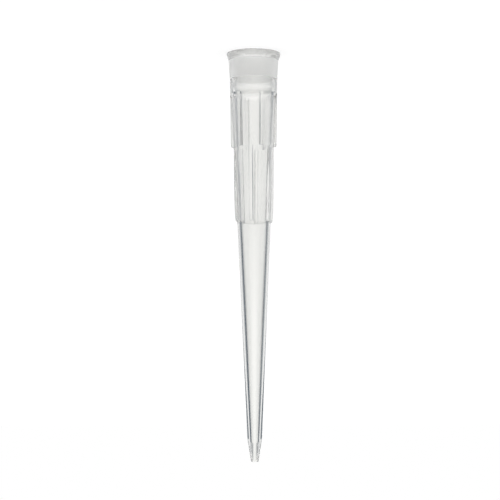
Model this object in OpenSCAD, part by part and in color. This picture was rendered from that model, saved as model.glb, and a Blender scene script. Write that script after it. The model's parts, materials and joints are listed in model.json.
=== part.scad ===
// Pipette tip with a frosted collar and two staggered tiers of fins.
// It stands on the rim of its wide mouth, at z = 0, with the orifice at the top.

/* [Whole tip] */
// Length from the rim of the mouth to the orifice
tip_length = 59; // [54:0.5:66]

/* [Bore] */
// Diameter of the sealing land, which grips the nozzle of the pipette
socket_d = 5.64; // [5.5:0.02:5.9]
// How far the lead-in opens out from the land to the mouth, on the radius
lead_in_flare = 0.63; // [0.3:0.01:0.8]
// Length of the lead-in, from the rim to the land
lead_in_length = 0.7; // [0.4:0.05:1.2]
// Length of the sealing land
land_length = 4.5; // [3.5:0.1:4.6]
// Diameter of the bore at the throat, behind the land
throat_d = 5.08; // [4.8:0.02:5.2]
// Length of the taper from the land to the throat
throat_length = 1.1; // [0.6:0.1:1.2]
// Diameter of the bore where the fins end
waist_d = 3.64; // [3.2:0.02:4]
// Diameter of the orifice
orifice_d = 0.75; // [0.4:0.05:1]

/* [Walls] */
// Wall of the collar next to the rim
collar_wall = 0.74; // [0.7:0.01:0.9]
// Wall of the barrel at the bottom of the grooves
barrel_wall = 0.61; // [0.5:0.01:0.66]
// Wall of the cone where it leaves the barrel
cone_wall = 0.585; // [0.45:0.005:0.6]
// Wall of the cone where the nose begins
nose_wall = 0.53; // [0.45:0.01:0.65]
// Wall at the orifice
orifice_wall = 0.14; // [0.12:0.01:0.3]

/* [Rim, collar and band] */
// How far the rim stands out from the collar
rim_flare = 0.325; // [0.2:0.005:0.5]
// Length of the flare, from the face of the rim to the straight part of the collar
flare_length = 1.45; // [0.8:0.05:2]
// Radius of the round on the outer edge of the rim
rim_round = 0.14; // [0.05:0.01:0.2]
// Length of the straight part of the frosted collar
collar_length = 2.43; // [1.5:0.01:3]
// Radius that the collar loses over its length
collar_draft = 0.1; // [0:0.005:0.12]
// Step from the collar down to the clear band
collar_step = 0.035; // [0.02:0.005:0.06]
// Length of the clear band between the collar and the fins
band_length = 2.12; // [1.6:0.02:3]
// Radius that the band and the fins lose in each millimetre of length
barrel_draft = 0.01; // [0:0.001:0.015]

/* [Fins] */
// Number of fins in each tier
fin_count = 6; // [4:1:10]
// Width of a fin
fin_width = 0.58; // [0.4:0.02:0.8]
// Angle of the first fin of the narrow tier, from the front
fin_turn = 9; // [0:1:30]
// Length of the sloped start of each groove
groove_slope = 0.5; // [0.2:0.05:1]
// Length of the wide tier of fins, next to the band
wide_fin_length = 7.8; // [5:0.1:10]
// Length of the narrow tier of fins, next to the cone
narrow_fin_length = 10.9; // [8:0.1:14]
// Step from the wide tier down to the narrow one
tier_step = 0.14; // [0.05:0.01:0.2]
// Length of the round that ends a wide fin
wide_round_length = 0.7; // [0.3:0.05:1.5]
// Depth of the round that ends a wide fin
wide_round_depth = 0.16; // [0.05:0.01:0.2]
// Length of the round that ends a narrow fin
narrow_round_length = 3.7; // [1:0.1:5]
// Depth of the round that ends a narrow fin
narrow_round_depth = 0.24; // [0.1:0.01:0.3]

/* [Nose] */
// Length of the steeper nose that ends at the orifice
nose_length = 3.3; // [2:0.1:5]

/* [Hidden] */
$fn = 128;
// Steps in each rounded edge of the outline
round_steps = 6;
// Steps in the curve of the flare
flare_steps = 12;
// How far the cutting rings reach past what they cut
overcut = 0.3;

// Heights, from the face of the rim up
land_z = lead_in_length + land_length;
throat_z = land_z + throat_length;
band_z = flare_length + collar_length;
fins_z = band_z + band_length;
tier_z = fins_z + wide_fin_length;
shoulder_z = tier_z + narrow_fin_length;
nose_z = tip_length - nose_length;

// The bore, as pairs of height and radius
BORE = [
    [0, socket_d / 2 + lead_in_flare],
    [lead_in_length, socket_d / 2],
    [land_z, socket_d / 2],
    [throat_z, throat_d / 2],
    [shoulder_z, waist_d / 2],
    [tip_length, orifice_d / 2]
];

// Radii of the outside
collar_r = socket_d / 2 + collar_wall;
rim_r = collar_r + rim_flare;
band_r = collar_r - collar_draft - collar_step;
wide_fin_r = band_r - barrel_draft * band_length;
wide_end_r = wide_fin_r - barrel_draft * wide_fin_length;
narrow_fin_r = wide_end_r - wide_round_depth - tier_step;
narrow_end_r = narrow_fin_r - barrel_draft * narrow_fin_length;
groove_z = fins_z + groove_slope;
groove_start_r = bore_r(groove_z) + barrel_wall;
groove_end_r = bore_r(shoulder_z) + barrel_wall;

// Radius of the bore at height z
function bore_r(z) = lookup(z, BORE);

// Bottom of the grooves at height z, a straight line from their start to the shoulder
function groove_r(z) = groove_start_r
    + (groove_end_r - groove_start_r) * (z - groove_z) / (shoulder_z - groove_z);

// Outer edge of a fin: a straight draft from [start_r, start_z] that heads for [end_r, end_z],
// whose last stretch curves in towards the axis as a quarter of an ellipse
function fin_outline(start_r, start_z, end_r, end_z, length, depth) =
    let (draft = (start_r - end_r) / (end_z - start_z))
        concat(
            [[start_r, start_z]],
            [for (i = [0:round_steps])
                let (a = 90 * i / round_steps, to_end = length * (1 - sin(a)))
                    [end_r + draft * to_end - depth * (1 - cos(a)), end_z - to_end]]);

// Rounded lip of the rim, from its face out to its widest circle
function lip_outline() = [
    for (i = [0:round_steps - 1])
        let (a = 90 * i / round_steps)
            [rim_r - rim_round * (1 - sin(a)), rim_round * (1 - cos(a))]
];

// Flare from the widest circle in to the collar: half a wave, so that it leaves both of them smoothly
function flare_outline() = [
    for (i = [0:flare_steps])
        let (part = i / flare_steps)
            [collar_r + rim_flare * (1 + cos(180 * part)) / 2,
                rim_round + (flare_length - rim_round) * part]
];

// Outside of the tip as if the grooves were full. The cone starts a little inside the bottom of
// the grooves, which leaves a fine step there.
OUTSIDE = concat(
    lip_outline(),
    flare_outline(),
    [[collar_r - collar_draft, band_z], [band_r, band_z]],
    fin_outline(wide_fin_r, fins_z, wide_end_r, tier_z, wide_round_length, wide_round_depth),
    fin_outline(narrow_fin_r, tier_z, narrow_end_r, shoulder_z, narrow_round_length, narrow_round_depth),
    [
        [bore_r(shoulder_z) + cone_wall, shoulder_z],
        [bore_r(nose_z) + nose_wall, nose_z],
        [orifice_d / 2 + orifice_wall, tip_length]
    ]);

// Inside of the tip, from the orifice back to the mouth
INSIDE = [for (i = [len(BORE) - 1:-1:0]) [BORE[i][1], BORE[i][0]]];

// Slabs from the axis outwards, one for each fin of a tier
module fin_slabs(turn) {
    for (i = [0:fin_count - 1])
        rotate(turn + i * 360 / fin_count)
            translate([-fin_width / 2, -2 * rim_r, 0])
                cube([fin_width, 2 * rim_r, tip_length]);
}

// Grooves between the fins of one tier: a ring with the given outline, less the fins
module grooves(outline, turn) {
    difference() {
        rotate_extrude() polygon(outline);
        fin_slabs(turn);
    }
}

module wide_grooves() {
    cut_r = wide_fin_r + overcut;
    slope = groove_slope / (wide_fin_r - groove_start_r);
    grooves(
        [[cut_r, fins_z - slope * overcut], [groove_start_r, groove_z], [groove_r(tier_z), tier_z], [cut_r, tier_z]],
        fin_turn - 180 / fin_count);
}

module narrow_grooves() {
    cut_r = narrow_fin_r + overcut;
    cut_z = shoulder_z + overcut;
    grooves(
        [[cut_r, tier_z], [groove_r(tier_z), tier_z], [groove_r(cut_z), cut_z], [cut_r, cut_z]],
        fin_turn);
}

module tip() {
    color([0.88, 0.9, 0.9, 0.6])
        difference() {
            rotate_extrude() polygon(concat(OUTSIDE, INSIDE));
            wide_grooves();
            narrow_grooves();
        }
}

tip();
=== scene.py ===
# %% [markdown]
# # A clear pipette tip
# The real tip is one piece of moulded polypropylene, as long as a finger and thinner than a pencil.
# It stands here on the rim of its wide mouth, with the fine orifice at the top.
# Three things make it look right: a true wall with a bore inside it, because clear plastic shows
# both of its sides; a different surface on the collar, on the fins and on the cone, as the mould
# leaves them; and surroundings that are bright behind and darker to the sides, which draw the walls.

# %% Load the frame
import json
import math

import bmesh
import bpy
from mathutils import Matrix, Vector


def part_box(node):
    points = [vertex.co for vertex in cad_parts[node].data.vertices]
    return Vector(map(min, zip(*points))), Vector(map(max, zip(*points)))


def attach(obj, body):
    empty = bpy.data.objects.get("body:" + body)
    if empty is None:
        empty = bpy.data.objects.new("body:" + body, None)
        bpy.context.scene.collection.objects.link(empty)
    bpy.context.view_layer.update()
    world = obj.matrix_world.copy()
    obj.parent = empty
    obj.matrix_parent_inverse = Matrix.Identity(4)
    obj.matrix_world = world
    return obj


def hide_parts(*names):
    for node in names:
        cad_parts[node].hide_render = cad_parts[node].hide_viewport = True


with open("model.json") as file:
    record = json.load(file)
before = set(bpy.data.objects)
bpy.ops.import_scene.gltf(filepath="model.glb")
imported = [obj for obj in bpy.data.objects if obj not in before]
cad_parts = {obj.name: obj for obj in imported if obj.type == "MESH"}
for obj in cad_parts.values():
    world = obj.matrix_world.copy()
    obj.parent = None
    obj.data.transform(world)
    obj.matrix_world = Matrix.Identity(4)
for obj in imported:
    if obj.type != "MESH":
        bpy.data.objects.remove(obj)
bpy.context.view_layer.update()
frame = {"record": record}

# %% [markdown]
# ## The sizes
# The frame already knows how long the tip is, how wide its rim is, and the radius of the socket
# that grips the pipette. The other sizes are written here in millimetres, and heights are
# counted from the rim upwards. Blender works in metres, so one factor converts them at the end.

# %% Sizes from the frame
MM = 0.001
tip_low, tip_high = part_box("tip")
socket = next(mount for mount in frame["record"]["mounts"] if mount["name"] == "socket")

TIP_LENGTH = (tip_high.z - tip_low.z) / MM
SOCKET_R = socket["dims"]["r_mm"]
print(f"length {TIP_LENGTH:.2f} mm, socket radius {SOCKET_R:.2f} mm")

# %% Sizes of the mouth, collar and band
LEAD_IN_FLARE = 0.63
LEAD_IN_LENGTH = 0.7
LAND_END = LEAD_IN_LENGTH + socket["dims"]["length_mm"]
COLLAR_R = SOCKET_R + 0.74
RIM_R = COLLAR_R + 0.325
RIM_ROUND = 0.14
FLARE_END = 1.45
GLOSSY_UNTIL = 1.1
HAIRLINE_DEPTH = 0.06
COLLAR_END = 3.88
WINDOW_START = 5.85
COLLAR_END_R = COLLAR_R - 0.1
BAND_R = COLLAR_END_R - 0.035
print(f"rim {2 * RIM_R:.2f} mm wide, collar {2 * COLLAR_R:.2f} mm, band {2 * BAND_R:.2f} mm")

# %% Sizes of the fins
FINS_PER_TIER = 6
FIN_WIDTH = 0.58
FIN_EDGE = 0.17
FIN_TURN = 9.0
GROOVE_SLOPE = 0.5
WIDE_START = 6.0
WIDE_END = 13.8
NARROW_END = 24.7
BARREL_DRAFT = 0.01
WIDE_ROUND = (0.7, 0.16)
NARROW_ROUND = (3.7, 0.24)
TIER_STEP = 0.14
LEDGE = 0.03
print("fins in each tier:", FINS_PER_TIER)
print(f"wide tier {WIDE_END - WIDE_START:.1f} mm long, narrow tier {NARROW_END - WIDE_END:.1f} mm")

# %% Sizes of the bore, cone and nose
THROAT = (6.3, 2.54)
WAIST_R = 1.82
ORIFICE_R = 0.375
BARREL_WALL = 0.61
CONE_WALL = 0.585
NOSE_START = TIP_LENGTH - 3.3
NOSE_WALL = 0.53
ORIFICE_WALL = 0.14
FINE_STEP = 0.02
print("orifice, mm:", 2 * ORIFICE_R)

# %% [markdown]
# ## The section of the wall
# Cut along its axis, the tip is one closed outline: the face of the rim, up the outside, round the
# orifice, and down the bore. It could be drawn as a curve and spun with the Screw modifier, but the
# fins make the outside change as it goes round. So each point of this outline is a *ring*, with two
# radii: one on top of a fin, and one in the groove beside it. Where there are no fins the two are
# equal. The rule that blends them comes in the next step. The rim flares out in half a wave, and a
# hairline runs round it where two parts of the mould meet, and where its gloss ends.

# %% The bore and the two outside radii
BORE = [
    (0.0, SOCKET_R + LEAD_IN_FLARE),
    (LEAD_IN_LENGTH, SOCKET_R),
    (LAND_END, SOCKET_R),
    THROAT,
    (NARROW_END, WAIST_R),
    (TIP_LENGTH, ORIFICE_R),
]


def along(points, z):
    """Radius at height z on a line of (height, radius) points."""
    for (z0, r0), (z1, r1) in zip(points, points[1:]):
        if z <= z1:
            return r0 + (r1 - r0) * (z - z0) / (z1 - z0)
    return points[-1][1]


WIDE_START_R = BAND_R - BARREL_DRAFT * (WIDE_START - COLLAR_END)
WIDE_END_R = WIDE_START_R - BARREL_DRAFT * (WIDE_END - WIDE_START)
NARROW_START_R = WIDE_END_R - WIDE_ROUND[1] - TIER_STEP
NARROW_END_R = NARROW_START_R - BARREL_DRAFT * (NARROW_END - WIDE_END)
GROOVE_START = WIDE_START + GROOVE_SLOPE
GROOVE = [
    (WIDE_START, WIDE_START_R),
    (GROOVE_START, along(BORE, GROOVE_START) + BARREL_WALL),
    (NARROW_END, WAIST_R + BARREL_WALL),
]
print("groove bottoms, mm:", [round(r, 3) for z, r in GROOVE])

# %% Rings of the mouth and the collar
RIM, FROSTED, SATIN, CLEAR, POLISHED = range(5)


def ring(z, top, groove=None, turn=0.0, finish=FROSTED, corner=False):
    """One ring: its height, its radius on a fin and in a groove, and the finish from here on."""
    return {"z": z, "top": top, "groove": top if groove is None else groove,
            "turn": turn, "finish": finish, "corner": corner}


def mouth_rings(lip_steps=6, flare_steps=16):
    """The face of the rim, its rounded lip, and a flare with a hairline where its gloss ends."""
    rings = [ring(0.0, SOCKET_R + LEAD_IN_FLARE, finish=RIM, corner=True)]
    for i in range(lip_steps):
        a = math.pi / 2 * i / lip_steps
        z, r = RIM_ROUND * (1 - math.cos(a)), RIM_R - RIM_ROUND * (1 - math.sin(a))
        rings.append(ring(z, r, finish=RIM))
    for i in range(flare_steps + 1):
        part = i / flare_steps
        z = RIM_ROUND + (FLARE_END - RIM_ROUND) * part
        r = COLLAR_R + (RIM_R - COLLAR_R) * (1 + math.cos(math.pi * part)) / 2
        finish = RIM if z < GLOSSY_UNTIL else FROSTED
        if finish != rings[-1]["finish"]:
            r -= HAIRLINE_DEPTH
        rings.append(ring(z, r, finish=finish))
    return rings


def collar_rings():
    """The frosted collar, the small step at its end, and the clear band."""
    return [
        ring(COLLAR_END, COLLAR_END_R, corner=True),
        ring(COLLAR_END, BAND_R, finish=SATIN, corner=True),
        ring(WINDOW_START, BAND_R - BARREL_DRAFT * (WINDOW_START - COLLAR_END), finish=CLEAR),
    ]


print(len(mouth_rings()) + len(collar_rings()), "rings from the rim to the fins")

# %% Rings of the two tiers of fins


def fin_rings(start, end, start_r, end_r, rounding, turn, steps=8, round_steps=7):
    """A tier of fins: a straight top edge that ends in a quarter of an ellipse."""
    round_length, round_depth = rounding
    draft = (start_r - end_r) / (end - start)
    heights = [start + (end - round_length - start) * i / steps for i in range(1, steps)]
    rings = [ring(z, start_r - draft * (z - start), along(GROOVE, z), turn, SATIN) for z in heights]
    for i in range(round_steps + 1):
        a = math.pi / 2 * i / round_steps
        z = end - round_length * (1 - math.sin(a))
        top = start_r - draft * (z - start) - round_depth * (1 - math.cos(a))
        rings.append(ring(z, top, along(GROOVE, z), turn, SATIN))
    return rings


def barrel_rings():
    """Both tiers, with the slope that opens the grooves and the ledge between the tiers."""
    wide_turn = FIN_TURN - 180 / FINS_PER_TIER
    groove_r = along(GROOVE, GROOVE_START)
    top_r = WIDE_START_R - BARREL_DRAFT * GROOVE_SLOPE
    rings = [
        ring(WIDE_START, WIDE_START_R, None, wide_turn, CLEAR, corner=True),
        ring(GROOVE_START, top_r, groove_r, wide_turn, SATIN, corner=True),
    ]
    rings += fin_rings(GROOVE_START, WIDE_END, top_r, WIDE_END_R, WIDE_ROUND, wide_turn)
    start = WIDE_END + LEDGE
    rings.append(ring(start, NARROW_START_R, along(GROOVE, start), FIN_TURN, SATIN))
    rings += fin_rings(start, NARROW_END, NARROW_START_R, NARROW_END_R, NARROW_ROUND, FIN_TURN)
    return rings


print(len(barrel_rings()), "rings on the barrel")

# %% Rings of the cone, the nose and the bore


def cone_rings(step=3.0):
    """From the end of the fins along the cone and the steeper nose to the orifice."""
    start_r = WAIST_R + CONE_WALL
    end_r = along(BORE, NOSE_START) + NOSE_WALL
    rings = [ring(NARROW_END + FINE_STEP, start_r, finish=CLEAR)]
    count = round((NOSE_START - NARROW_END) / step)
    for i in range(1, count):
        part = i / count
        z = NARROW_END + (NOSE_START - NARROW_END) * part
        rings.append(ring(z, start_r + (end_r - start_r) * part, finish=CLEAR))
    rings.append(ring(NOSE_START, end_r, finish=CLEAR, corner=True))
    rings.append(ring(TIP_LENGTH, ORIFICE_R + ORIFICE_WALL, finish=CLEAR, corner=True))
    return rings


def bore_rings(step=3.0):
    """Back down the inside, with a ring every few millimetres on the long tapers."""
    rings = []
    for (z0, r0), (z1, r1) in reversed(list(zip(BORE, BORE[1:]))):
        count = max(1, round((z1 - z0) / step))
        for i in range(count):
            part = i / count
            z, r = z1 + (z0 - z1) * part, r1 + (r0 - r1) * part
            rings.append(ring(z, r, finish=POLISHED, corner=i == 0))
    return rings


print(len(cone_rings()) + len(bore_rings()), "rings on the cone and in the bore")

# %% [markdown]
# ## Soft corners
# A mould has no perfectly sharp edge, and smooth shading needs a little curve to turn on. Each ring
# that is marked as a corner is swapped for three rings on a tiny bend. The bend is worked out on
# both radii at once, so it rounds the fins and the grooves together.

# %% Soften the corners and close the outline


def mixed(a, b, part):
    """A ring between two others, which keeps the turn and the finish of the first."""
    values = {key: a[key] + (b[key] - a[key]) * part for key in ("z", "top", "groove")}
    return {**a, **values, "corner": False}


def soften(rings, reach=0.04, most=0.4):
    """Swaps each corner for three rings on a curve that starts and ends a short reach away.

    On a short side the curve takes no more than the given part of it.
    """
    soft = []
    for i, here in enumerate(rings):
        if not here["corner"]:
            soft.append(here)
            continue
        ends = []
        for other in (rings[i - 1], rings[(i + 1) % len(rings)]):
            length = math.dist((here["z"], here["top"]), (other["z"], other["top"]))
            ends.append(mixed(here, other, min(most, reach / length)))
        middle = mixed(mixed(ends[0], ends[1], 0.5), here, 0.5)
        soft += [ends[0], middle, ends[1]]
    return soft


outline = soften(mouth_rings() + collar_rings() + barrel_rings() + cone_rings() + bore_rings())
outline.append(outline[0])
print(len(outline), "rings in the closed outline")

# %% Store the outline as points with named attributes


def outline_object(rings):
    """A line of points. Each holds its height and radii, and what the node tree has to know of it."""
    mesh = bpy.data.meshes.new("tip_outline")
    mesh.from_pydata([(r["top"] * MM, 0, r["z"] * MM) for r in rings], [], [])
    for name, kind in (("groove", "FLOAT"), ("turn", "FLOAT"), ("finish", "INT")):
        data = mesh.attributes.new(name, kind, "POINT").data
        scale = {"groove": MM, "turn": math.radians(1), "finish": 1}[name]
        for item, r in zip(data, rings):
            item.value = r[name] * scale
    piece = bpy.data.objects.new("clear_tip", mesh)
    bpy.context.scene.collection.objects.link(piece)
    return piece


tip = outline_object(outline)
print("attributes:", [item.name for item in tip.data.attributes])

# %% [markdown]
# ## Spinning the outline, with fins
# Geometry Nodes fit this shape, because one rule makes all of it. The tree starts from a plain open
# tube with one row of points for each ring. It reads which ring and which direction a point has from
# its index, and moves it there. The radius is a blend of *groove* and *top*, by how far the point lies
# from the middle of the nearest fin. Folding the angle with a modulo repeats one fin round the barrel.

# %% Small helpers for node trees


def add(tree, kind, inputs=None, **settings):
    """Adds a node. Inputs are values, or outputs of other nodes, by socket name or number."""
    made = tree.nodes.new(kind)
    for name, value in settings.items():
        setattr(made, name, value)
    for name, value in (inputs or {}).items():
        if isinstance(value, bpy.types.NodeSocket):
            tree.links.new(value, made.inputs[name])
        else:
            made.inputs[name].default_value = value
    return made


def maths(tree, operation, *values):
    """A Math node on the given values, and its result."""
    return add(tree, "ShaderNodeMath", dict(enumerate(values)), operation=operation).outputs[0]


print("helpers:", add.__name__, maths.__name__)

# %% The tree and its inputs
POINTS_AROUND = 432
tree = bpy.data.node_groups.new("moulded_tip", "GeometryNodeTree")
TREE_INPUTS = [
    ("Outline", "NodeSocketGeometry", None),
    ("Points Around", "NodeSocketInt", POINTS_AROUND),
    ("Fins in a Tier", "NodeSocketInt", FINS_PER_TIER),
    ("Fin Width", "NodeSocketFloat", FIN_WIDTH * MM),
    ("Fin Edge", "NodeSocketFloat", FIN_EDGE * MM),
    ("Rim", "NodeSocketMaterial", None),
    ("Frosted", "NodeSocketMaterial", None),
    ("Satin", "NodeSocketMaterial", None),
    ("Clear", "NodeSocketMaterial", None),
    ("Polished", "NodeSocketMaterial", None),
]
for name, kind, start in TREE_INPUTS:
    new_input = tree.interface.new_socket(name, in_out="INPUT", socket_type=kind)
    if start is not None:
        new_input.default_value = start
tree.interface.new_socket("Tip", in_out="OUTPUT", socket_type="NodeSocketGeometry")
given = add(tree, "NodeGroupInput").outputs
print("inputs:", [name for name, kind, start in TREE_INPUTS])

# %% A tube with one row of points for each ring
rows = add(tree, "GeometryNodeAttributeDomainSize", {"Geometry": given["Outline"]}).outputs["Point Count"]
tube = add(
    tree,
    "GeometryNodeMeshCylinder",
    {
        "Vertices": given["Points Around"],
        "Side Segments": maths(tree, "SUBTRACT", rows, 1),
    },
    fill_type="NONE",
).outputs["Mesh"]
index = add(tree, "GeometryNodeInputIndex").outputs[0]
# The half keeps the first point of a row from being rounded into the row before it.
row = maths(tree, "FLOOR", maths(tree, "DIVIDE", maths(tree, "ADD", index, 0.5), given["Points Around"]))
step_round = maths(tree, "SUBTRACT", index, maths(tree, "MULTIPLY", row, given["Points Around"]))
angle = maths(tree, "MULTIPLY", maths(tree, "DIVIDE", step_round, given["Points Around"]), math.tau)
print(len(tree.nodes), "nodes: rows and angles")

# %% Read the ring that a row stands for


def from_ring(kind, field):
    """The value of a field on the outline's point with this row's number."""
    inputs = {"Geometry": given["Outline"], "Value": field, "Index": row}
    return add(tree, "GeometryNodeSampleIndex", inputs, data_type=kind, domain="POINT").outputs["Value"]


def stored(name, kind="FLOAT"):
    """A field that reads a named attribute."""
    return add(tree, "GeometryNodeInputNamedAttribute", {"Name": name}, data_type=kind).outputs["Attribute"]


place = from_ring("FLOAT_VECTOR", add(tree, "GeometryNodeInputPosition").outputs[0])
place_parts = add(tree, "ShaderNodeSeparateXYZ", {0: place}).outputs
top_r, height = place_parts["X"], place_parts["Z"]
groove_r = from_ring("FLOAT", stored("groove"))
turn = from_ring("FLOAT", stored("turn"))
print(len(tree.nodes), "nodes: each row reads its ring")

# %% The rule for the fins
pitch = maths(tree, "DIVIDE", math.tau, given["Fins in a Tier"])
half_pitch = maths(tree, "MULTIPLY", pitch, 0.5)
shifted = maths(tree, "ADD", maths(tree, "SUBTRACT", angle, turn), half_pitch)
folded = maths(tree, "SUBTRACT", maths(tree, "FLOORED_MODULO", shifted, pitch), half_pitch)
off_middle = maths(tree, "MULTIPLY", maths(tree, "ABSOLUTE", maths(tree, "SINE", folded)), top_r)
half_width = maths(tree, "MULTIPLY", given["Fin Width"], 0.5)
half_edge = maths(tree, "MULTIPLY", given["Fin Edge"], 0.5)
on_fin = add(
    tree,
    "ShaderNodeMapRange",
    {
        "Value": off_middle,
        "From Min": maths(tree, "SUBTRACT", half_width, half_edge),
        "From Max": maths(tree, "ADD", half_width, half_edge),
        "To Min": 1.0,
        "To Max": 0.0,
    },
    interpolation_type="SMOOTHSTEP",
).outputs["Result"]
fin_height = maths(tree, "SUBTRACT", top_r, groove_r)
radius = maths(tree, "MULTIPLY_ADD", fin_height, on_fin, groove_r)
print(len(tree.nodes), "nodes: the fins")

# %% Put each point in its place and close the seam
WELD_DISTANCE = 1e-7
across = maths(tree, "MULTIPLY", radius, maths(tree, "SINE", angle))
deep = maths(tree, "MULTIPLY", maths(tree, "MULTIPLY", radius, maths(tree, "COSINE", angle)), -1)
spot = add(tree, "ShaderNodeCombineXYZ", {"X": across, "Y": deep, "Z": height}).outputs[0]
shaped = add(tree, "GeometryNodeSetPosition", {"Geometry": tube, "Position": spot}).outputs[0]
kept = add(
    tree,
    "GeometryNodeStoreNamedAttribute",
    {"Geometry": shaped, "Name": "finish", "Value": from_ring("INT", stored("finish", "INT"))},
    data_type="INT",
    domain="FACE",
).outputs["Geometry"]
weld = {"Geometry": kept, "Distance": WELD_DISTANCE}
closed = add(tree, "GeometryNodeMergeByDistance", weld).outputs[0]
print(len(tree.nodes), "nodes: a closed shell")

# %% [markdown]
# ## Five finishes from one mould
# The mould does not leave the same surface everywhere. The rim is glossy but a little uneven, where
# the plastic flowed in last. The collar was sandblasted, so it comes out frosted. The band and the
# fins are satin, as spark-eroded steel leaves them, and blur a little what lies behind. The cone was
# polished, so that the liquid in it can be seen, and the bore even more so. It is one plastic all the
# same, so the five materials share one recipe and one set of effects, and only their values differ.

# %% Shared effect: the grain that a mould leaves


def grain_group():
    """Group: a fine bump. Object coordinates keep it fixed on the plastic."""
    group = bpy.data.node_groups.new("mould_grain", "ShaderNodeTree")
    for name, start in (("Grain Size", 0.0001), ("Depth", 0.1)):
        group.interface.new_socket(name, in_out="INPUT", socket_type="NodeSocketFloat").default_value = start
    group.interface.new_socket("Height", in_out="OUTPUT", socket_type="NodeSocketFloat")
    values = add(group, "NodeGroupInput").outputs
    place = add(group, "ShaderNodeTexCoord").outputs["Object"]
    scale = maths(group, "DIVIDE", 1.0, values["Grain Size"])
    noise = add(group, "ShaderNodeTexNoise", {"Vector": place, "Scale": scale, "Detail": 1.0}).outputs[0]
    height = maths(group, "MULTIPLY", noise, values["Depth"])
    add(group, "NodeGroupOutput", {"Height": height})
    return group


GRAIN = grain_group()
print("group:", GRAIN.name)

# %% Shared effect: a value that fades with height


def fade_group():
    """Group: a value that changes softly from one to another between two heights."""
    group = bpy.data.node_groups.new("fade_by_height", "ShaderNodeTree")
    for name, start in (("Start", 0.02), ("End", 0.04), ("Below", 1.0), ("Above", 0.0)):
        group.interface.new_socket(name, in_out="INPUT", socket_type="NodeSocketFloat").default_value = start
    group.interface.new_socket("Value", in_out="OUTPUT", socket_type="NodeSocketFloat")
    values = add(group, "NodeGroupInput").outputs
    place = add(group, "ShaderNodeTexCoord").outputs["Object"]
    height = add(group, "ShaderNodeSeparateXYZ", {0: place}).outputs["Z"]
    faded = add(
        group,
        "ShaderNodeMapRange",
        {
            "Value": height,
            "From Min": values["Start"],
            "From Max": values["End"],
            "To Min": values["Below"],
            "To Max": values["Above"],
        },
        interpolation_type="SMOOTHSTEP",
    ).outputs["Result"]
    add(group, "NodeGroupOutput", {"Value": faded})
    return group


FADE = fade_group()
print("group:", FADE.name)

# %% [markdown]
# ## The recipe for the plastic
# Glass and clear plastic are the same to a shader: a sharp or blurred view through, and a reflection
# at each surface. Two details are added. Its colour darkens or lightens a little where the surface
# turns away from the eye: painted shade that draws dark lines along the bore of the cone, and painted
# light on the sides of the collar. And it is faintly warm, because the raw plastic absorbs some blue.
# A ray on its way out meets the back of a surface, and there the roughness can be lower. Otherwise
# each frosted wall would blur twice.

# %% The recipe for the plastic
PLASTIC_IOR = 1.49
INSIDE_ROUGH = 0.05
WARMTH = 0.985
# How fast the painted edge light and shade grows towards the outline.
PAINTED_EDGE_POWER = 1.5


def by_height(nodes, values, fade):
    """A single value as it is, or for a pair a fade from the first to the second."""
    if isinstance(values, float):
        return values
    inputs = {"Start": fade[0] * MM, "End": fade[1] * MM, "Below": values[0], "Above": values[1]}
    return add(nodes, "ShaderNodeGroup", inputs, node_tree=FADE).outputs[0]


def colour_with_painted_edges(nodes, tint, edge):
    """The colour: the tint with painted shade where the surface turns away from the eye, painted light for a
    negative edge value, and at most 1.
    """
    value = tint
    if edge != 0.0:
        # Painted shade, or painted light for a negative edge value, by how far the surface turns away.
        facing = add(nodes, "ShaderNodeLayerWeight", {"Blend": 0.5}).outputs["Facing"]
        painted_edge_light_and_shade = maths(nodes, "MULTIPLY", maths(nodes, "POWER", facing, PAINTED_EDGE_POWER), edge)
        value = maths(nodes, "MULTIPLY", maths(nodes, "SUBTRACT", 1.0, painted_edge_light_and_shade), tint)
        value = maths(nodes, "MINIMUM", value, 1.0)
    if isinstance(value, float):
        return (value, value, WARMTH * value, 1.0)
    blue = maths(nodes, "MULTIPLY", value, WARMTH)
    return add(nodes, "ShaderNodeCombineColor", {"Red": value, "Green": value, "Blue": blue}).outputs[0]


def plastic(name, see_through, rough, tint, edge=0.0, fade=(0, 0), grain=(0.1, 0.005), inner=0.0):
    """Clear plastic. A pair of values holds below and above the fade, whose heights are in mm.

    The grain is its size in mm and its depth. The inner value is how far the roughness goes towards
    INSIDE_ROUGH where a ray meets the back of the surface. A positive edge value paints shade into the
    colour where the surface turns away from the eye, and a negative one paints light there.
    """
    material = bpy.data.materials.new(name)
    material.use_nodes = True
    nodes = material.node_tree
    nodes.nodes.clear()
    rough = by_height(nodes, rough, fade)
    if inner > 0.0:
        inside = add(nodes, "ShaderNodeNewGeometry").outputs["Backfacing"]
        spread = maths(nodes, "MULTIPLY", maths(nodes, "SUBTRACT", INSIDE_ROUGH, rough), inner)
        rough = maths(nodes, "MULTIPLY_ADD", spread, inside, rough)
    colour = colour_with_painted_edges(nodes, by_height(nodes, tint, fade), by_height(nodes, edge, fade))
    sizes = {"Grain Size": grain[0] * MM, "Depth": grain[1]}
    bumps = add(nodes, "ShaderNodeGroup", sizes, node_tree=GRAIN).outputs[0]
    normal = add(nodes, "ShaderNodeBump", {"Height": bumps, "Distance": MM}).outputs[0]
    inputs = {
        "Base Color": colour,
        "Roughness": rough,
        "IOR": PLASTIC_IOR,
        "Transmission Weight": see_through,
        "Normal": normal,
    }
    surface = add(nodes, "ShaderNodeBsdfPrincipled", inputs).outputs[0]
    add(nodes, "ShaderNodeOutputMaterial", {"Surface": surface})
    return material


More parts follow.
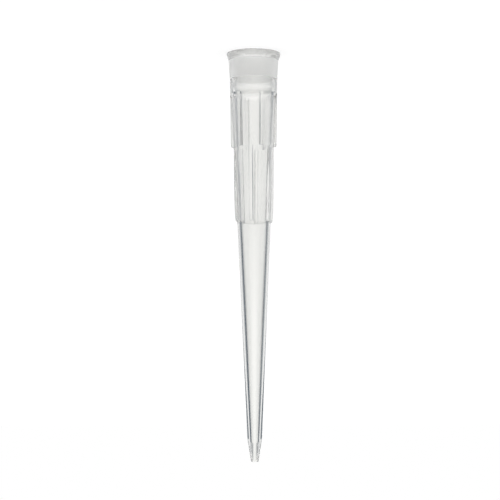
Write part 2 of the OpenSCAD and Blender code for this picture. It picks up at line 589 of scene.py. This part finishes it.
# %% The five finishes
FAINT_GRAIN = (0.4, 0.002)
MATERIALS = {
    # The tint of 0.8 greys the rim and the collar: partly the milky look of the plastic, partly painted
    # shade.
    "Rim": plastic("rim_plastic", see_through=0.6, rough=0.08, tint=0.8, grain=(0.5, 0.18)),
    # The negative edge value paints light on the sides of the collar, where it turns away from the eye.
    "Frosted": plastic(
        "frosted_plastic", see_through=0.5, rough=0.35, tint=0.8, edge=-0.7, grain=(0.08, 0.01), inner=0.5
    ),
    "Satin": plastic(
        "satin_plastic",
        see_through=0.75,
        rough=(0.17, 0.05),
        tint=1.0,
        fade=(WIDE_END, WIDE_END + 0.7),
        inner=0.7,
    ),
    "Clear": plastic(
        "clear_plastic",
        see_through=1.0,
        rough=(0.15, 0.0),
        tint=(0.91, 0.96),
        fade=(25, 42),
        grain=FAINT_GRAIN,
    ),
    "Polished": plastic(
        "polished_plastic",
        see_through=1.0,
        rough=(0.03, 0.0),
        tint=0.97,
        # The edge value paints shade where the bore turns away from the eye, growing from 25 to 40 mm: dark
        # lines along the bore of the cone.
        edge=(0.0, 0.9),
        fade=(25, 40),
        grain=FAINT_GRAIN,
    ),
}
print("materials:", [material.name for material in MATERIALS.values()])

# %% Give each stretch its finish and end the tree
finish = stored("finish", "INT")
shown = add(tree, "GeometryNodeSetShadeSmooth", {"Geometry": closed}).outputs[0]
shown = add(tree, "GeometryNodeRealizeInstances", {"Geometry": shown}).outputs[0]
for number, name in enumerate(MATERIALS):
    # Sockets 2 and 3 of this node are its two whole numbers.
    here = add(tree, "FunctionNodeCompare", {2: finish, 3: number}, data_type="INT", operation="EQUAL")
    inputs = {"Geometry": shown, "Selection": here.outputs[0], "Material": given[name]}
    shown = add(tree, "GeometryNodeSetMaterial", inputs).outputs[0]
add(tree, "NodeGroupOutput", {"Tip": shown})
print(len(tree.nodes), "nodes: the whole tree")

# %% Run the tree once and keep the mesh
modifier = tip.modifiers.new("moulded_tip", "NODES")
modifier.node_group = tree
sockets = {item.name: item.identifier for item in tree.interface.items_tree if item.in_out == "INPUT"}
for name, kind, start in TREE_INPUTS:
    if start is not None:
        modifier[sockets[name]] = start
for name, material in MATERIALS.items():
    modifier[sockets[name]] = material
made = bpy.data.meshes.new_from_object(tip.evaluated_get(bpy.context.evaluated_depsgraph_get()))
tip.modifiers.remove(modifier)
made.materials.pop(index=0)  # the tube brings an empty slot of its own
tip.data = made
print(len(made.vertices), "points,", [material.name for material in made.materials])

# %% Turn the faces outward and mark the true edges
SHARP_FROM = math.radians(40)
shell = bmesh.new()
shell.from_mesh(made)
bmesh.ops.recalc_face_normals(shell, faces=shell.faces)
open_edges = sum(not edge.is_manifold for edge in shell.edges)
volume = shell.calc_volume(signed=True) / MM**3
shell.to_mesh(made)
shell.free()
made.set_sharp_from_angle(angle=SHARP_FROM)
print(f"{len(made.polygons)} faces, {open_edges} open edges, {volume:.1f} cubic mm")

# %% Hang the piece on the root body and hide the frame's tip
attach(tip, "root")
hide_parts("tip")
print("piece:", tip.name)

# %% [markdown]
# ## The studio
# Clear plastic is seen by what it bends into view. A photographer stands such a thing in front of a
# bright screen and keeps the sides of the room darker. Through the middle of the tube you see the
# screen. Near the edge of the bore the light comes from far to the side, so a dark line draws the
# wall. Here the world is all of this at once. It is plain white to the camera, and to light that
# scatters off the plastic. Only rays that pass through the plastic or glance off it meet the flags,
# which are blue-grey.

# %% The world and its directions
WHITE = (1, 1, 1, 1)
world = bpy.data.worlds.new("studio")
bpy.context.scene.world = world
world.use_nodes = True
nodes = world.node_tree
nodes.nodes.clear()
direction = add(nodes, "ShaderNodeTexCoord").outputs["Generated"]
parts = add(nodes, "ShaderNodeSeparateXYZ", {0: direction}).outputs
compass = maths(nodes, "ARCTAN2", maths(nodes, "ABSOLUTE", parts["X"]), maths(nodes, "ABSOLUTE", parts["Y"]))


def soft_step(value, start, end):
    """Rises smoothly from 0 to 1 between two values."""
    inputs = {"Value": value, "From Min": start, "From Max": end}
    return add(nodes, "ShaderNodeMapRange", inputs, interpolation_type="SMOOTHSTEP").outputs[0]


print("world:", world.name)

# %% [markdown]
# The flags are a rule on the compass direction. Near the camera's own level there are four, wide and
# deep, and a little deeper on one side, as no studio is quite even. Above and below that level there
# are eight softer ones, with a gap at every 45 degrees, so that the tip also has a bright screen right
# behind it when it is seen from the side, from a corner or from the back. Straight up and straight
# down there are none.

# %% The flags
WIDE_FLAG_DEPTH = 0.9
WIDE_FLAG_LEAN = 0.06
WIDE_FLAG_RISE = (math.radians(12), math.radians(58))
WIDE_FLAG_FALL = (math.radians(76), math.radians(90))
SOFT_FLAG_COUNT = 8
SOFT_FLAG_DEPTH = 0.7
# Heights of directions, as sines of their angles from the level
CAMERA_LEVEL = -0.05
OFF_LEVEL = (0.1, 0.14)
STEEP = (0.35, 0.6)

rise = soft_step(compass, *WIDE_FLAG_RISE)
fall = soft_step(compass, *WIDE_FLAG_FALL)
depth = maths(nodes, "MULTIPLY_ADD", parts["X"], WIDE_FLAG_LEAN, WIDE_FLAG_DEPTH)
four = maths(nodes, "MULTIPLY", maths(nodes, "SUBTRACT", rise, fall), depth)
wave = maths(nodes, "COSINE", maths(nodes, "MULTIPLY", compass, SOFT_FLAG_COUNT))
eight = maths(nodes, "MULTIPLY_ADD", wave, -SOFT_FLAG_DEPTH / 2, SOFT_FLAG_DEPTH / 2)
off_level = maths(nodes, "ABSOLUTE", maths(nodes, "SUBTRACT", parts["Z"], CAMERA_LEVEL))
away = soft_step(off_level, *OFF_LEVEL)
flags = maths(nodes, "MULTIPLY_ADD", maths(nodes, "SUBTRACT", eight, four), away, four)
steep = soft_step(maths(nodes, "ABSOLUTE", parts["Z"]), *STEEP)
flags = maths(nodes, "MULTIPLY", flags, maths(nodes, "SUBTRACT", 1.0, steep))
print("flags: depth", WIDE_FLAG_DEPTH, "near the camera's level and", SOFT_FLAG_DEPTH, "elsewhere")

# %% Who sees the flags
FLAG_COLOUR = (0.03, 0.058, 0.09, 1)
paths = add(nodes, "ShaderNodeLightPath").outputs
bent = maths(nodes, "MAXIMUM", paths["Is Transmission Ray"], paths["Is Glossy Ray"])
bent = maths(nodes, "MULTIPLY", bent, maths(nodes, "SUBTRACT", 1.0, paths["Is Camera Ray"]))
amount = maths(nodes, "MULTIPLY", flags, bent)
# Of this node, socket 0 is the share of the second colour, and 6 and 7 are the colours.
colours = {0: amount, 6: WHITE, 7: FLAG_COLOUR}
mixed_colour = add(nodes, "ShaderNodeMix", colours, data_type="RGBA").outputs[2]
screen = add(nodes, "ShaderNodeBackground", {"Color": mixed_colour, "Strength": 1.0}).outputs[0]
add(nodes, "ShaderNodeOutputWorld", {"Surface": screen})
print(len(nodes.nodes), "nodes in the world")

# %% [markdown]
# ## The floor
# The tip stands on a wide sheet of paper. The camera sees half of it as a steady glow and half as
# matt paper, so it is as white as the background and still shows the soft shadow under the rim. For
# all other rays the sheet is not there. Clear plastic then sees the same studio below as above.

# %% The floor
FLOOR_SIZE = 4.0
floor_mesh = bpy.data.meshes.new("floor")
corners = [(x * FLOOR_SIZE / 2, y * FLOOR_SIZE / 2, 0) for x, y in ((-1, -1), (1, -1), (1, 1), (-1, 1))]
floor_mesh.from_pydata(corners, [], [(0, 1, 2, 3)])
floor = bpy.data.objects.new("floor", floor_mesh)
bpy.context.scene.collection.objects.link(floor)
print("floor:", FLOOR_SIZE, "m wide")

# %% The paper
GLOW = 1.1
PAPER_SHARE = 0.5
paper_material = bpy.data.materials.new("floor_paper")
paper_material.use_nodes = True
nodes = paper_material.node_tree
nodes.nodes.clear()
paths = add(nodes, "ShaderNodeLightPath").outputs
paper = add(nodes, "ShaderNodeBsdfDiffuse", {"Color": WHITE}).outputs[0]
glow = add(nodes, "ShaderNodeEmission", {"Color": WHITE, "Strength": GLOW}).outputs[0]
# Of this node, socket 0 is the share of the second shader, and 1 and 2 are the shaders.
seen = add(nodes, "ShaderNodeMixShader", {0: PAPER_SHARE, 1: glow, 2: paper}).outputs[0]
nothing = add(nodes, "ShaderNodeBsdfTransparent").outputs[0]
surface = add(nodes, "ShaderNodeMixShader", {0: paths["Is Camera Ray"], 1: nothing, 2: seen}).outputs[0]
add(nodes, "ShaderNodeOutputMaterial", {"Surface": surface})
floor_mesh.materials.append(paper_material)
print("paper:", paper_material.name)

# %% [markdown]
# ## The camera
# A long lens an arm's length away looks a few degrees down on the tip. It is turned over, so the
# picture shows the tip as it is used, with the orifice at the bottom. The tip itself stays standing.
# The aim is a fraction of a millimetre off the axis, which puts the tip where it belongs in the frame.

# %% The camera
CAMERA_DISTANCE = 0.3219
CAMERA_TILT = math.radians(6)
CAMERA_ROLL = math.radians(179.83)
CAMERA_AIM = Vector((0.00059, 0, 0.02869))
LENS = 161.3
SENSOR_WIDTH = 36
NEAR_CLIP = 0.01

camera_data = bpy.data.cameras.new("camera")
camera_data.lens = LENS
camera_data.sensor_width = SENSOR_WIDTH
camera_data.clip_start = NEAR_CLIP
camera = bpy.data.objects.new("camera", camera_data)
bpy.context.scene.collection.objects.link(camera)
bpy.context.scene.camera = camera
sight = Vector((0, math.cos(CAMERA_TILT), -math.sin(CAMERA_TILT)))
upright = sight.to_track_quat("-Z", "Y").to_matrix().to_4x4()
turned_over = Matrix.Rotation(CAMERA_ROLL, 4, "Z")
camera.matrix_world = Matrix.Translation(CAMERA_AIM - sight * CAMERA_DISTANCE) @ upright @ turned_over
bpy.context.scene.view_settings.view_transform = "Standard"
print("camera:", [round(part, 4) for part in camera.matrix_world.translation], "m")

# %% [markdown]
# ## How far the light is followed
# In the solid wall of the nose a ray can glance off the inside of the plastic a dozen times before it
# gets out. If it is given up sooner, the nose turns black. So these paths may be longer than usual.

# %% Long paths for light inside the plastic
MAX_BOUNCES = 32
light_paths = bpy.context.scene.cycles
light_paths.max_bounces = MAX_BOUNCES
light_paths.glossy_bounces = MAX_BOUNCES
light_paths.transmission_bounces = MAX_BOUNCES
print("bounces:", light_paths.max_bounces)
